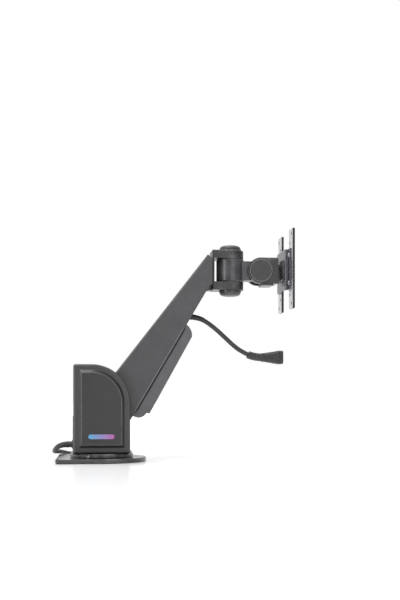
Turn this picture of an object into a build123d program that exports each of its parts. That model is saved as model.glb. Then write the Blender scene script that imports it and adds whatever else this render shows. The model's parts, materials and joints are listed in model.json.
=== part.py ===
from build123d import *
import os
from math import atan2, cos, degrees, hypot, radians, sin, tan

# Counterbalanced monitor arm, in millimetres. +Z is up and the origin is the pan axis at
# the desk surface. At rest the arm rises towards +X. Two parallel links keep the head
# upright, and a gas spring between them carries the monitor's weight.

# ---------------------------------------------------------------- driving dimensions
RUN = 0.05  # radial clearance of a pin in its bore
GAP = 0.5  # side clearance between parts that slide past each other
PLAY = 0.6  # clearance of a cover above the part below it
WALL = 2.4  # wall of the moulded covers

# Desk plate and pan bearing
plate_radius = 64.5
plate_thickness = 6.0
plate_corner = 4.0
desk_bolt_radius = 3.3
desk_bolt_circle = 112.0
desk_bolt_head = 6.4
thrust_radius = 30.0
thrust_thickness = 1.0
disc_radius = 45.5
disc_thickness = 5.0
hub_radius = 14.0
hub_spigot_radius = 10.0
hub_spigot_depth = 3.5
retainer_lip = 3.0
retainer_thickness = 2.5
friction_thickness = 0.8
hub_screw_radius = 4.0
hub_screw_head = 7.5
hub_screw_depth = 8.0
disc_screw_radius = 2.5
disc_screw_head = 4.6
disc_screw_x = 24.0
disc_screw_y = 9.0

# Column
column_rear = -40.5
column_front = 40.4
column_top = 140.0
column_arc = 55.0
cover_gap = 1.0  # between the arm's cover and the column's side covers
cover_depth = 10.0
panel_height = 2.6
panel_margin = 8.0
panel_bevel = 4.4
cover_edge = 3.0
bracket_floor = 4.0
bracket_rear_gap = 9.5  # from the column's outline
bracket_front_gap = 7.4
bracket_top_gap = 24.0
cheek_thickness = 3.0
washer_thickness = 0.9
boss_radius = 4.0
door_thickness = 2.2
spine_inset = 1.0
door_top = 66.0
door_half_width = 20.0
outlet_height = 24.1
outlet_wall = 1.7
gland_nose = 2.9
front_trim_top = 24.0
badge_length = 37.0
badge_height = 6.6
badge_thickness = 0.5
badge_rise = 23.9
badge_shift = 0.45

# Parallel-link arm. Places on the arm are (u, v): u along the links from the base pivot,
# v at right angles to them, upwards.
arm_length = 245.0
rest_elevation = 56.0
base_x = 13.4977
base_z = 76.8858
link_spacing = 25.0
pivot_radius = 4.0
link_thickness = 3.0
link_gap = 1.0
upper_link_base_wall = 8.0
link_eye_wall = 2.5
lower_link_half = 5.2
cheek_cover_gap = 2.0
arm_cover_wall = 2.5
cover_top_base = 26.6  # height of the cover's top over the pivot line, at the base pivot
cover_top_head = 10.2  # the same at the head pivot
cover_low_base = 18.4  # depth of the cover's edge under the lower link, at the base pivot
cover_low_head = 3.4
spring_cover_inset = 1.5
spring_cover_start = 7.7
spring_cover_end = 160.9
spring_cover_depth = 18.1  # under the arm cover's edge, at its deepest
spring_cover_nose_depth = 15.9

# Gas spring
spring_radius = 7.5
spring_wall = 1.5
spring_length = 150.0
spring_head_u = 185.0
spring_head_v = 0.5
spring_foot_x = 5.0  # from the base pivot
spring_foot_z = -44.0
rod_radius = 3.0
rod_inside = 47.4
spring_gap = 1.5  # beside the tube, between the fork's lugs
foot_pin_radius = 3.0
foot_play = 2.0  # open pivot: the eye is larger than its pin by this much
foot_eye_wall = 3.0
eye_wall = 4.5
eye_half_width = 5.0

# Head
head_drop = 1.6  # from the head pivot down to the swivel's mid height
ear_radius = 19.5
ear_thickness = 12.0
barrel_radius = 20.3
barrel_height = 33.0
web_thickness = 3.0
web_reach = 9.8  # from the head pivot
end_gap = 0.6  # between the arm's end and the web
web_gap = 4.9
swivel_pin_radius = 6.0
bush_wall = 1.5
cap_inset = 4.0
cap_height = 8.6
tilt_drop = 0.6
yoke_gap = 4.0  # between the barrel and the yoke
yoke_rim = 2.5  # of the yoke outside the knuckle
yoke_web = 9.3
yoke_wall = 6.0
knuckle_y = 12.5
knuckle_radius = 16.5
tilt_pin_radius = 5.0
tilt_cap_inset = 2.0
tilt_cap_height = 2.2
stop_rib_length = 17.0
stop_rib_width = 34.0
stop_rib_height = 2.4
hub_disc_radius = 15.5
hub_disc_length = 3.8
head_plate_width = 60.0
head_plate_height = 29.0
head_plate_thickness = 3.0
channel_depth = 6.2
channel_height = 59.0
channel_wall = 2.0
strap_width = 28.0
strap_length = 115.0
strap_thickness = 3.5
vesa_small = 75.0
vesa_large = 100.0
vesa_hole_radius = 2.25

# Leads
lead_radius = 3.3
lead_guide_half = 4.0
lead_guide_post = 4.0
front_route = (
    (129.0, 0.0, 210.9),
    (141.5, 0.4, 209.4),
    (152.5, 0.9, 204.0),
    (165.5, 1.0, 194.6),
    (180.0, 0.7, 181.4),
    (193.0, 0.2, 169.1),
    (204.5, -0.2, 160.4),
    (215.0, 0.0, 155.5),
)
rear_route = (
    (-46.0, 0.0, 24.1),
    (-54.5, 0.0, 24.1),
    (-62.0, 4.5, 21.5),
    (-67.0, 13.0, 17.6),
    (-69.5, 25.0, 13.9),
    (-70.0, 39.5, 11.4),
    (-67.0, 56.0, 10.6),
    (-61.5, 72.5, 9.4),
    (-54.5, 88.5, 6.4),
    (-47.5, 104.0, 4.4),
    (-42.0, 119.0, 3.8),
    (-38.5, 133.0, 4.4),
)
tail_route = (
    (-39.5, 146.0, 8.5),
    (-38.8, 159.0, 8.9),
    (-36.0, 171.5, 8.2),
    (-30.0, 182.5, 6.4),
    (-20.5, 191.0, 5.6),
    (-9.0, 195.5, 6.6),
)
coil_centre = (2.0, 139.0)
coil_radius = 36.7
coil_half_width = 10.0
coil_half_height = 6.7

# ---------------------------------------------------------------- derived heights and places
retainer_radius = hub_radius + retainer_lip
thrust_top = plate_thickness + thrust_thickness
disc_top = thrust_top + disc_thickness
floor_top = disc_top + bracket_floor
hub_top = floor_top + friction_thickness
cover_bottom = disc_top + PLAY
bracket_rear = column_rear + bracket_rear_gap
bracket_front = column_front - bracket_front_gap
bracket_top = column_top - bracket_top_gap
outlet_radius = lead_radius + outlet_wall

# Half widths, from the gas spring outwards
lug_y = spring_radius + spring_gap
lower_link_y = lug_y + GAP
upper_link_y = lower_link_y + link_thickness + link_gap
link_side = upper_link_y + link_thickness + 0.1
cheek_inner_y = max(link_side + washer_thickness, retainer_radius + GAP)
cheek_outer_y = cheek_inner_y + cheek_thickness
arm_cover_y = cheek_outer_y + cheek_cover_gap + arm_cover_wall
spring_cover_y = arm_cover_y - spring_cover_inset
cover_inner_y = arm_cover_y + cover_gap
cover_rim_y = cover_inner_y + cover_depth
arc_x = column_front - column_arc
arc_z = column_top - column_arc

along = (cos(radians(rest_elevation)), sin(radians(rest_elevation)))
across = (-along[1], along[0])
head_pivot_x = base_x + arm_length * along[0]
head_pivot_z = base_z + arm_length * along[1]
low_pin_z = base_z - link_spacing
foot_x = base_x + spring_foot_x
foot_z = base_z + spring_foot_z
low_base = (-link_spacing * along[1], -link_spacing * along[0])
low_head = (low_base[0] + arm_length, low_base[1])
upper_link_base_end = pivot_radius + upper_link_base_wall
upper_link_head_end = pivot_radius + link_eye_wall
lower_link_end = pivot_radius + link_eye_wall
eye_radius = foot_pin_radius + eye_wall


def world(u, v):
    """X and Z of a place on the arm at rest."""
    return (base_x + u * along[0] + v * across[0], base_z + u * along[1] + v * across[1])


def arm_uv(x, z):
    """The arm's (u, v) of a place given by X and Z."""
    dx, dz = x - base_x, z - base_z
    return (dx * along[0] + dz * along[1], dx * across[0] + dz * across[1])


def top_line(u):
    """Height of the arm cover's top over the pivot line."""
    return cover_top_base + (cover_top_head - cover_top_base) * u / arm_length


def low_line(u):
    """Height of the arm cover's lower edge over the pivot line."""
    return low_base[1] - cover_low_base + (cover_low_base - cover_low_head) * u / arm_length


def spring_plane():
    """Plane whose x runs up the gas spring from its foot pivot."""
    return Plane(origin=(foot_x, 0, foot_z), x_dir=(spring_dir[0], 0, spring_dir[1]), z_dir=(0, -1, 0))


side = Plane.XZ  # sketches here are (X, Z); a positive offset moves towards -Y
arm = Plane(origin=(base_x, 0, base_z), x_dir=(along[0], 0, along[1]), z_dir=(0, -1, 0))
head_place = world(spring_head_u, spring_head_v)
spring_run = (head_place[0] - foot_x, head_place[1] - foot_z)
spring_span = hypot(spring_run[0], spring_run[1])
spring_dir = (spring_run[0] / spring_span, spring_run[1] / spring_span)
low_head_z = head_pivot_z - link_spacing
head_z = head_pivot_z - head_drop
tilt_z = head_z - tilt_drop
web_x = head_pivot_x + web_reach
swivel_x = web_x + web_thickness + web_gap + barrel_radius
cap_radius = ear_radius - cap_inset
tilt_radius = knuckle_radius + yoke_rim
tilt_front = knuckle_radius + yoke_web
tilt_cap_radius = tilt_radius - tilt_cap_inset
tilt_x = swivel_x + barrel_radius + yoke_gap + tilt_radius
yoke_inner_y = knuckle_y + GAP
yoke_outer_y = yoke_inner_y + yoke_wall
barrel_low = head_z - barrel_height / 2
barrel_top = head_z + barrel_height / 2
ear_low_top = barrel_low - PLAY
ear_top_low = barrel_top + PLAY
ear_bottom = ear_low_top - ear_thickness
ear_top = ear_top_low + ear_thickness
tilt_face = tilt_x + tilt_front
plate_x = tilt_face + hub_disc_length + 0.3
channel_x = plate_x + head_plate_thickness
strap_x = channel_x + channel_depth

os.makedirs("parts", exist_ok=True)


# ---------------------------------------------------------------- desk plate and pan bearing
with BuildPart() as base_plate:
    with BuildSketch(Plane.XY):
        Circle(plate_radius)
        with Locations((-plate_radius / 2, 0)):
            Rectangle(plate_radius, 2 * plate_radius)
    extrude(amount=plate_thickness)
    fillet(base_plate.edges().filter_by(Axis.Z).group_by(Axis.X)[0], plate_corner)
    chamfer(base_plate.faces().sort_by(Axis.Z)[-1].edges(), 0.8)
    chamfer(base_plate.faces().sort_by(Axis.Z)[0].edges(), 1.2)
    bolt_place = desk_bolt_circle / 2 * cos(radians(45))
    with Locations(Plane.XY.offset(plate_thickness)):
        with GridLocations(2 * bolt_place, 2 * bolt_place, 2, 2):
            CounterSinkHole(desk_bolt_radius, desk_bolt_head)
        Hole(hub_spigot_radius, depth=hub_spigot_depth)
base_plate.part.label = "base_plate"
export_step(base_plate.part, "parts/base_plate.step")


with BuildPart() as thrust_washer:
    with BuildSketch(Plane.XY.offset(plate_thickness)):
        Circle(thrust_radius)
        Circle(hub_radius + GAP, mode=Mode.SUBTRACT)
    extrude(amount=thrust_thickness)
thrust_washer.part.label = "thrust_washer"
export_step(thrust_washer.part, "parts/thrust_washer.step")


with BuildPart() as pan_hub:
    with BuildSketch(Plane.XY.offset(plate_thickness)):
        Circle(hub_radius)
    extrude(amount=hub_top - plate_thickness)
    with BuildSketch(Plane.XY.offset(plate_thickness)):
        Circle(hub_spigot_radius)
    extrude(amount=-hub_spigot_depth)
    with Locations(Plane.XY.offset(hub_top)):
        Hole(hub_screw_radius, depth=hub_screw_depth)
pan_hub.part.label = "pan_hub"
export_step(pan_hub.part, "parts/pan_hub.step")


with BuildPart() as pan_retainer:
    with BuildSketch(Plane.XY.offset(hub_top)):
        Circle(retainer_radius)
        Circle(hub_screw_radius + 0.3, mode=Mode.SUBTRACT)
    extrude(amount=retainer_thickness)
    chamfer(pan_retainer.edges().group_by(Axis.Z)[-1], 0.6)
pan_retainer.part.label = "pan_retainer"
export_step(pan_retainer.part, "parts/pan_retainer.step")


with BuildPart() as pan_screw:
    with BuildSketch(Plane.XY.offset(hub_top + retainer_thickness)):
        Circle(hub_screw_head)
    extrude(amount=3.2)
    fillet(pan_screw.edges().group_by(Axis.Z)[-1], 1.2)
    with BuildSketch(Plane.XY.offset(hub_top + retainer_thickness)):
        Circle(hub_screw_radius)
    extrude(amount=-(retainer_thickness + hub_screw_depth - 1))
    with BuildSketch(Plane.XY.offset(hub_top + retainer_thickness + 3.2)):
        RegularPolygon(3.0, 6)
    extrude(amount=-2.0, mode=Mode.SUBTRACT)
pan_screw.part.label = "pan_screw"
export_step(pan_screw.part, "parts/pan_screw.step")


with BuildPart() as friction_ring:
    with BuildSketch(Plane.XY.offset(floor_top)):
        Circle(retainer_radius)
        Circle(hub_radius + GAP, mode=Mode.SUBTRACT)
    extrude(amount=friction_thickness - 0.05)
friction_ring.part.label = "friction_ring"
export_step(friction_ring.part, "parts/friction_ring.step")


# ---------------------------------------------------------------- column
with BuildPart() as swivel_disc:
    with BuildSketch(Plane.XY.offset(thrust_top)):
        Circle(disc_radius)
        Circle(hub_radius + RUN, mode=Mode.SUBTRACT)
    extrude(amount=disc_thickness)
    chamfer(swivel_disc.edges().group_by(Axis.Z)[-1].sort_by(SortBy.LENGTH)[-1], 1.4)
    with Locations(Plane.XY.offset(disc_top)):
        with GridLocations(2 * disc_screw_x, 2 * disc_screw_y, 2, 2):
            Hole(disc_screw_radius)
swivel_disc.part.label = "swivel_disc"
export_step(swivel_disc.part, "parts/swivel_disc.step")


with BuildPart() as column_bracket:
    with BuildSketch(side.offset(-cheek_inner_y - cheek_thickness)):
        with BuildLine():
            Polyline(
                (bracket_rear, disc_top),
                (bracket_rear, bracket_top),
                (bracket_rear + 12, bracket_top),
                (bracket_rear + 14, base_z + 3),
                (base_x - 16.5, base_z - 5),
                (base_x + 13.5, base_z - 3),
                (bracket_front, base_z - 27),
                (bracket_front, disc_top),
                close=True,
            )
        make_face()
        with Locations((base_x, base_z)):
            Circle(13)
    extrude(amount=2 * cheek_inner_y + 2 * cheek_thickness)
    with BuildSketch(side.offset(-cheek_inner_y)):
        with Locations(((bracket_rear + bracket_front) / 2, floor_top + 100)):
            Rectangle(200, 200)
    extrude(amount=2 * cheek_inner_y, mode=Mode.SUBTRACT)
    with BuildSketch(side.offset(-cheek_outer_y - 1)):
        with Locations((base_x, base_z), (base_x, low_pin_z)):
            Circle(pivot_radius)
        with Locations((foot_x, foot_z)):
            Circle(foot_pin_radius)
    extrude(amount=2 * cheek_outer_y + 2, mode=Mode.SUBTRACT)
    with Locations(Plane.XY.offset(floor_top)):
        Hole(hub_radius + RUN)
        with GridLocations(2 * disc_screw_x, 2 * disc_screw_y, 2, 2):
            Hole(disc_screw_radius)
column_bracket.part.label = "column_bracket"
export_step(column_bracket.part, "parts/column_bracket.step")


with BuildPart() as disc_screws:
    with Locations(Plane.XY.offset(floor_top)):
        with GridLocations(2 * disc_screw_x, 2 * disc_screw_y, 2, 2):
            Cylinder(disc_screw_head, 2.6, align=(Align.CENTER, Align.CENTER, Align.MIN))
            Cylinder(
                disc_screw_radius,
                bracket_floor + disc_thickness - 1,
                align=(Align.CENTER, Align.CENTER, Align.MAX),
            )
    fillet(disc_screws.edges().group_by(Axis.Z)[-1], 0.9)
disc_screws.part.label = "disc_screws"
export_step(disc_screws.part, "parts/disc_screws.step")


def column_profile(inset):
    """D-shaped side profile of the column, drawn inset from its outline by a margin."""
    rear, front = column_rear + inset, column_front - inset
    low, top = cover_bottom + inset, column_top - inset
    radius = column_arc - inset
    corner = max(3.5 - inset, 0.8)
    with BuildLine() as outline:
        Line((front, arc_z), (front, low))
        Line((front, low), (rear, low))
        Line((rear, low), (rear, top - corner))
        RadiusArc((rear, top - corner), (rear + corner, top), corner)
        Line((rear + corner, top), (arc_x, top))
        RadiusArc((arc_x, top), (front, arc_z), radius)
    make_face(outline.edges())


def bosses(low_y, high_y, radius, places, sign):
    """Round posts across the column, from one height in Y to another."""
    with BuildSketch(side.offset(-sign * low_y)) as posts:
        with Locations(*places):
            Circle(radius)
    extrude(posts.sketch, amount=-sign * (high_y - low_y))


boss_places = (
    (bracket_rear + 7, floor_top + 14),
    (bracket_rear + 6, bracket_top - 8),
    (bracket_front - 7, floor_top + 6),
)


for name, sign in (("side_cover_left", 1), ("side_cover_right", -1)):
    with BuildPart() as side_cover:
        with BuildSketch(side.offset(-sign * cover_inner_y)):
            column_profile(0)
        extrude(amount=-sign * (cover_rim_y - cover_inner_y))
        outer = side_cover.faces().sort_by(Axis.Y)[-1 if sign > 0 else 0]
        fillet(outer.edges(), cover_edge)
        with BuildSketch(side.offset(-sign * cover_rim_y)):
            column_profile(panel_margin)
        extrude(amount=-sign * panel_height, taper=degrees(atan2(panel_bevel, panel_height)))
        with BuildSketch(side.offset(-sign * cover_inner_y)):
            column_profile(WALL)
        extrude(amount=-sign * (cover_rim_y - cover_inner_y - WALL), mode=Mode.SUBTRACT)
        bosses(cheek_outer_y, cover_rim_y - WALL / 2, boss_radius, boss_places, sign)
    side_cover.part.label = name
    export_step(side_cover.part, f"parts/{name}.step")


with BuildPart() as spine_cover:
    spine_rear = column_rear + spine_inset
    spine_top = column_top - spine_inset
    with BuildSketch(side.offset(-cover_inner_y)):
        with BuildLine():
            Polyline(
                (spine_rear, cover_bottom),
                (spine_rear, spine_top),
                (arc_x, spine_top),
                (arc_x, spine_top - WALL),
                (spine_rear + WALL, spine_top - WALL),
                (spine_rear + WALL, cover_bottom),
                close=True,
            )
        make_face()
    extrude(amount=2 * cover_inner_y)
    fillet(spine_cover.edges().filter_by(Axis.Y).sort_by(Axis.X)[:2].sort_by(Axis.Z)[-1], 2.5)
    with BuildSketch(Plane.YZ.offset(spine_rear - 1)):
        with Locations((0, outlet_height)):
            Circle(outlet_radius)
    extrude(amount=WALL + 2, mode=Mode.SUBTRACT)
spine_cover.part.label = "spine_cover"
export_step(spine_cover.part, "parts/spine_cover.step")


with BuildPart() as cable_door:
    door_x = column_rear + spine_inset - door_thickness
    with BuildSketch(Plane.YZ.offset(door_x)):
        with Locations((0, (door_top + cover_bottom) / 2)):
            RectangleRounded(2 * door_half_width, door_top - cover_bottom, 3)
        with Locations((0, outlet_height)):
            Circle(outlet_radius, mode=Mode.SUBTRACT)
    extrude(amount=door_thickness)
    fillet(cable_door.faces().sort_by(Axis.X)[0].outer_wire().edges(), 1.0)
cable_door.part.label = "cable_door"
export_step(cable_door.part, "parts/cable_door.step")


with BuildPart() as front_trim:
    with BuildSketch(side.offset(-cover_inner_y)):
        with BuildLine():
            Polyline(
                (column_front - spine_inset, cover_bottom),
                (column_front - spine_inset, front_trim_top),
                (column_front - spine_inset - WALL, front_trim_top),
                (column_front - spine_inset - WALL, cover_bottom),
                close=True,
            )
        make_face()
    extrude(amount=2 * cover_inner_y)
    fillet(front_trim.edges().filter_by(Axis.Y).group_by(Axis.Z)[-1], 0.8)
front_trim.part.label = "front_trim"
export_step(front_trim.part, "parts/front_trim.step")


def cross_pin(x, z, radius, half, end_chamfer=0.6):
    """Round pin along Y, centred on the mid plane."""
    with BuildSketch(side.offset(half)) as section:
        with Locations((x, z)):
            Circle(radius)
    pin = extrude(section.sketch, amount=-2 * half)
    chamfer(pin.edges().filter_by(GeomType.CIRCLE), end_chamfer)


with BuildPart() as upper_base_pin:
    cross_pin(base_x, base_z, pivot_radius, cheek_outer_y)
upper_base_pin.part.label = "upper_base_pin"
export_step(upper_base_pin.part, "parts/upper_base_pin.step")


with BuildPart() as lower_base_pin:
    cross_pin(base_x, low_pin_z, pivot_radius, cheek_outer_y)
lower_base_pin.part.label = "lower_base_pin"
export_step(lower_base_pin.part, "parts/lower_base_pin.step")


with BuildPart() as spring_foot_pin:
    cross_pin(foot_x, foot_z, foot_pin_radius, cheek_outer_y)
spring_foot_pin.part.label = "spring_foot_pin"
export_step(spring_foot_pin.part, "parts/spring_foot_pin.step")


def ring_pair(x, z, bore, outer, low_y, high_y):
    """Two rings along Y, one on each side of the mid plane."""
    for sign in (1, -1):
        with BuildSketch(side.offset(-sign * low_y)) as section:
            with Locations((x, z)):
                Circle(outer)
                Circle(bore, mode=Mode.SUBTRACT)
        extrude(section.sketch, amount=-sign * (high_y - low_y))


with BuildPart() as pivot_washers:
    ring_pair(base_x, base_z, pivot_radius, upper_link_base_end - 0.5, link_side, cheek_inner_y)
pivot_washers.part.label = "pivot_washers"
export_step(pivot_washers.part, "parts/pivot_washers.step")


with BuildPart() as lower_spacers:
    spacer_y = lower_link_y + link_thickness + 0.1
    ring_pair(base_x, low_pin_z, pivot_radius, lower_link_end, spacer_y, cheek_inner_y)
lower_spacers.part.label = "lower_spacers"
export_step(lower_spacers.part, "parts/lower_spacers.step")


with BuildPart() as column_badge:
    with BuildSketch(side.offset(cover_rim_y + panel_height)):
        with Locations(((column_rear + column_front) / 2 - badge_shift, cover_bottom + badge_rise)):
            SlotOverall(badge_length, badge_height)
    extrude(amount=badge_thickness)
column_badge.part.label = "column_badge"
export_step(column_badge.part, "parts/column_badge.step")


# ---------------------------------------------------------------- links
tie_places = ((60, 5), (arm_length - 38, 1.5))
tie_radius = 4.0
tie_stud = 2.5


for name, sign in (("upper_link_left", 1), ("upper_link_right", -1)):
    with BuildPart() as upper_link:
        with BuildSketch(arm.offset(-sign * upper_link_y)):
            with Locations((0, 0)):
                Circle(upper_link_base_end)
            with Locations((arm_length, 0)):
                Circle(upper_link_head_end)
            make_hull()
            with Locations((0, 0), (arm_length, 0)):
                Circle(pivot_radius + RUN, mode=Mode.SUBTRACT)
            with Locations((spring_head_u, spring_head_v)):
                Circle(foot_pin_radius, mode=Mode.SUBTRACT)
            with Locations(*tie_places):
                Circle(tie_stud, mode=Mode.SUBTRACT)
        extrude(amount=-sign * link_thickness)
    upper_link.part.label = name
    export_step(upper_link.part, f"parts/{name}.step")


with BuildPart() as link_ties:
    for u, v in tie_places:
        with BuildSketch(arm.offset(-upper_link_y)):
            with Locations((u, v)):
                Circle(tie_radius)
        extrude(amount=2 * upper_link_y)
        with BuildSketch(arm.offset(-upper_link_y - link_thickness)):
            with Locations((u, v)):
                Circle(tie_stud)
        extrude(amount=2 * (upper_link_y + link_thickness))
link_ties.part.label = "link_ties"
export_step(link_ties.part, "parts/link_ties.step")


with BuildPart() as spring_head_pin:
    with BuildSketch(arm.offset(-upper_link_y - link_thickness)):
        with Locations((spring_head_u, spring_head_v)):
            Circle(foot_pin_radius)
    extrude(amount=2 * (upper_link_y + link_thickness))
    chamfer(spring_head_pin.edges(), 0.5)
spring_head_pin.part.label = "spring_head_pin"
export_step(spring_head_pin.part, "parts/spring_head_pin.step")


lower_tie_u = low_head[0] - 20
lower_tie_radius = 3.0
lower_tie_stud = 2.0


for name, sign in (("lower_link_left", 1), ("lower_link_right", -1)):
    with BuildPart() as lower_link:
        with BuildSketch(arm.offset(-sign * lower_link_y)):
            with Locations(((low_base[0] + low_head[0]) / 2, low_base[1])):
                Rectangle(arm_length, 2 * lower_link_half)
            with Locations(low_base, low_head):
                Circle(lower_link_end)
            with Locations(low_base, low_head):
                Circle(pivot_radius + RUN, mode=Mode.SUBTRACT)
            with Locations((lower_tie_u, low_base[1])):
                Circle(lower_tie_stud, mode=Mode.SUBTRACT)
        extrude(amount=-sign * link_thickness)
    lower_link.part.label = name
    export_step(lower_link.part, f"parts/{name}.step")


with BuildPart() as lower_link_tie:
    with BuildSketch(arm.offset(-lower_link_y)):
        with Locations((lower_tie_u, low_base[1])):
            Circle(lower_tie_radius)
    extrude(amount=2 * lower_link_y)
    with BuildSketch(arm.offset(-lower_link_y - link_thickness)):
        with Locations((lower_tie_u, low_base[1])):
            Circle(lower_tie_stud)
    extrude(amount=2 * (lower_link_y + link_thickness))
lower_link_tie.part.label = "lower_link_tie"
export_step(lower_link_tie.part, "parts/lower_link_tie.step")


# ---------------------------------------------------------------- arm covers
end_face_x = web_x - end_gap
end_low_z = head_pivot_z - 23.2
end_top_u = arm_length + 19.0
end_low = arm_uv(end_face_x, end_low_z)
end_high = arm_uv(end_face_x, head_pivot_z + 14.6)


with BuildPart() as arm_cover:
    with BuildSketch(arm.offset(-arm_cover_y)):
        with BuildLine():
            Polyline(
                (0, top_line(0)),
                (end_top_u - 1.5, top_line(end_top_u)),
                end_high,
                end_low,
                (end_low[0] - 3.5, low_line(end_low[0] - 3.5)),
                (1.5, low_line(1.5)),
                (-8, low_line(0) + 1.5),
                (-0.75 * top_line(0), low_base[1] - 2),
                (-top_line(0), -2),
                (-top_line(0) * sin(radians(70)), top_line(0) * cos(radians(70))),
                (-top_line(0) * sin(radians(35)), top_line(0) * cos(radians(35))),
                close=True,
            )
        make_face()
    extrude(amount=2 * arm_cover_y)
    chamfer(arm_cover.faces().sort_by(Axis((0, 0, 0), arm.y_dir))[-1].edges().sort_by(SortBy.LENGTH)[-2:], 1.2)
    with BuildSketch(arm.offset(-arm_cover_y + arm_cover_wall)):
        with BuildLine():
            Polyline(
                (0, top_line(0) - arm_cover_wall),
                (arm_length + 8.5, top_line(arm_length + 8.5) - arm_cover_wall),
                (arm_length + 8.5, 60),
                (arm_length + 60, 60),
                (arm_length + 60, -80),
                (-60, -80),
                (-60, 60),
                (0, 60),
                close=True,
            )
        make_face()
    extrude(amount=2 * (arm_cover_y - arm_cover_wall), mode=Mode.SUBTRACT)
    for sign in (1, -1):
        with BuildSketch(arm.offset(-sign * (upper_link_y + link_thickness))):
            with Locations(*tie_places):
                Circle(5)
        extrude(amount=-sign * (arm_cover_y - 1.0 - upper_link_y - link_thickness))
arm_cover.part.label = "arm_cover"
export_step(arm_cover.part, "parts/arm_cover.step")


spring_cover_rear = (spring_cover_start, low_line(spring_cover_start))
spring_cover_nose = (spring_cover_end, low_line(spring_cover_end))
spring_cover_belly = (spring_cover_start + 16.6, low_line(0) - spring_cover_depth + 0.5)
spring_cover_chin = (spring_cover_end - 10.2, low_line(spring_cover_end) - spring_cover_nose_depth - 0.45)


with BuildPart() as spring_cover:
    with BuildSketch(arm.offset(-spring_cover_y)):
        with BuildLine():
            Polyline(spring_cover_nose, spring_cover_rear)
            heel = (spring_cover_start + 2, spring_cover_belly[1] + 11.1)
            step = (spring_cover_belly[0] - 2, spring_cover_belly[1] + 4.1)
            Line(spring_cover_rear, heel)
            ThreePointArc(heel, (heel[0] + 5.3, heel[1] - 5.3), step)
            Polyline(step, spring_cover_belly, spring_cover_chin)
            nose_mid = (spring_cover_chin[0] + 5.5, spring_cover_chin[1] + 4.3)
            ThreePointArc(spring_cover_chin, nose_mid, spring_cover_nose)
        make_face()
    extrude(amount=2 * spring_cover_y)
    with BuildSketch(arm.offset(-spring_cover_y + WALL)):
        with BuildLine():
            Polyline(
                (spring_cover_end + 9, 0),
                (spring_cover_end + 9, spring_cover_chin[1] + 7.4),
                (spring_cover_chin[0] + 3.7, spring_cover_chin[1] + 7.4),
                (spring_cover_chin[0] - 0.9, spring_cover_chin[1] + WALL),
                (spring_cover_belly[0], spring_cover_belly[1] + WALL + 0.1),
                (spring_cover_belly[0], spring_cover_belly[1] - 10),
                (spring_cover_start - 8, spring_cover_belly[1] - 10),
                (spring_cover_start - 8, 0),
                close=True,
            )
        make_face()
    extrude(amount=2 * (spring_cover_y - WALL), mode=Mode.SUBTRACT)
    for sign in (1, -1):
        with BuildSketch(arm.offset(-sign * (spring_cover_y - WALL))):
            with BuildLine():
                near, far = spring_cover_start + 12.3, spring_cover_end - 10.9
                Polyline(
                    (near, low_line(near) - 2),
                    (near, low_line(near) + 6),
                    (far, low_line(far) + 6),
                    (far, low_line(far) - 2),
                    close=True,
                )
            make_face()
        extrude(amount=-sign * (arm_cover_y - arm_cover_wall - spring_cover_y + WALL))
spring_cover.part.label = "spring_cover"
export_step(spring_cover.part, "parts/spring_cover.step")


# ---------------------------------------------------------------- gas spring
spring = spring_plane()
spring_gland_end = spring_span - spring_length
spring_bore = spring_radius - spring_wall
rod_length = spring_gland_end + rod_inside


with BuildPart() as gas_spring_tube:
    with BuildSketch(spring):
        with BuildLine():
            Polyline(
                (spring_gland_end, rod_radius + RUN),
                (spring_gland_end, spring_radius),
                (spring_span - 11, spring_radius),
                (spring_span - 9, 3.5),
                (spring_span - 4, 3.5),
                (spring_span - 4, 0),
                (spring_span - 14, 0),
                (spring_span - 14, spring_bore),
                (spring_gland_end + 9, spring_bore),
                (spring_gland_end + 9, rod_radius + RUN),
                close=True,
            )
        make_face()
    revolve(axis=Axis(spring.origin, spring.x_dir))
    with BuildSketch(spring.offset(-eye_half_width)):
        with Locations((spring_span, 0)):
            Circle(eye_radius)
    extrude(amount=2 * eye_half_width)
    with BuildSketch(spring.offset(-eye_half_width - 1)):
        with Locations((spring_span, 0)):
            Circle(foot_pin_radius + RUN)
    extrude(amount=2 * eye_half_width + 2, mode=Mode.SUBTRACT)
gas_spring_tube.part.label = "gas_spring_tube"
export_step(gas_spring_tube.part, "parts/gas_spring_tube.step")


foot_eye_radius = foot_pin_radius + foot_play + foot_eye_wall


with BuildPart() as gas_spring_rod:
    with BuildSketch(spring):
        with BuildLine():
            Polyline(
                (foot_pin_radius + foot_play + 1, 0),
                (foot_pin_radius + foot_play + 1, rod_radius),
                (rod_length - 8, rod_radius),
                (rod_length - 8, spring_bore - RUN),
                (rod_length, spring_bore - RUN),
                (rod_length, 0),
                close=True,
            )
        make_face()
    revolve(axis=Axis(spring.origin, spring.x_dir))
    with BuildSketch(spring.offset(-eye_half_width)):
        Circle(foot_eye_radius)
    extrude(amount=2 * eye_half_width)
    with BuildSketch(spring.offset(-eye_half_width - 1)):
        Circle(foot_pin_radius + foot_play)
    extrude(amount=2 * eye_half_width + 2, mode=Mode.SUBTRACT)
gas_spring_rod.part.label = "gas_spring_rod"
export_step(gas_spring_rod.part, "parts/gas_spring_rod.step")


# ---------------------------------------------------------------- fork and swivel
upper_lug = pivot_radius + link_eye_wall
lower_lug = upper_lug + 1.0


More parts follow.
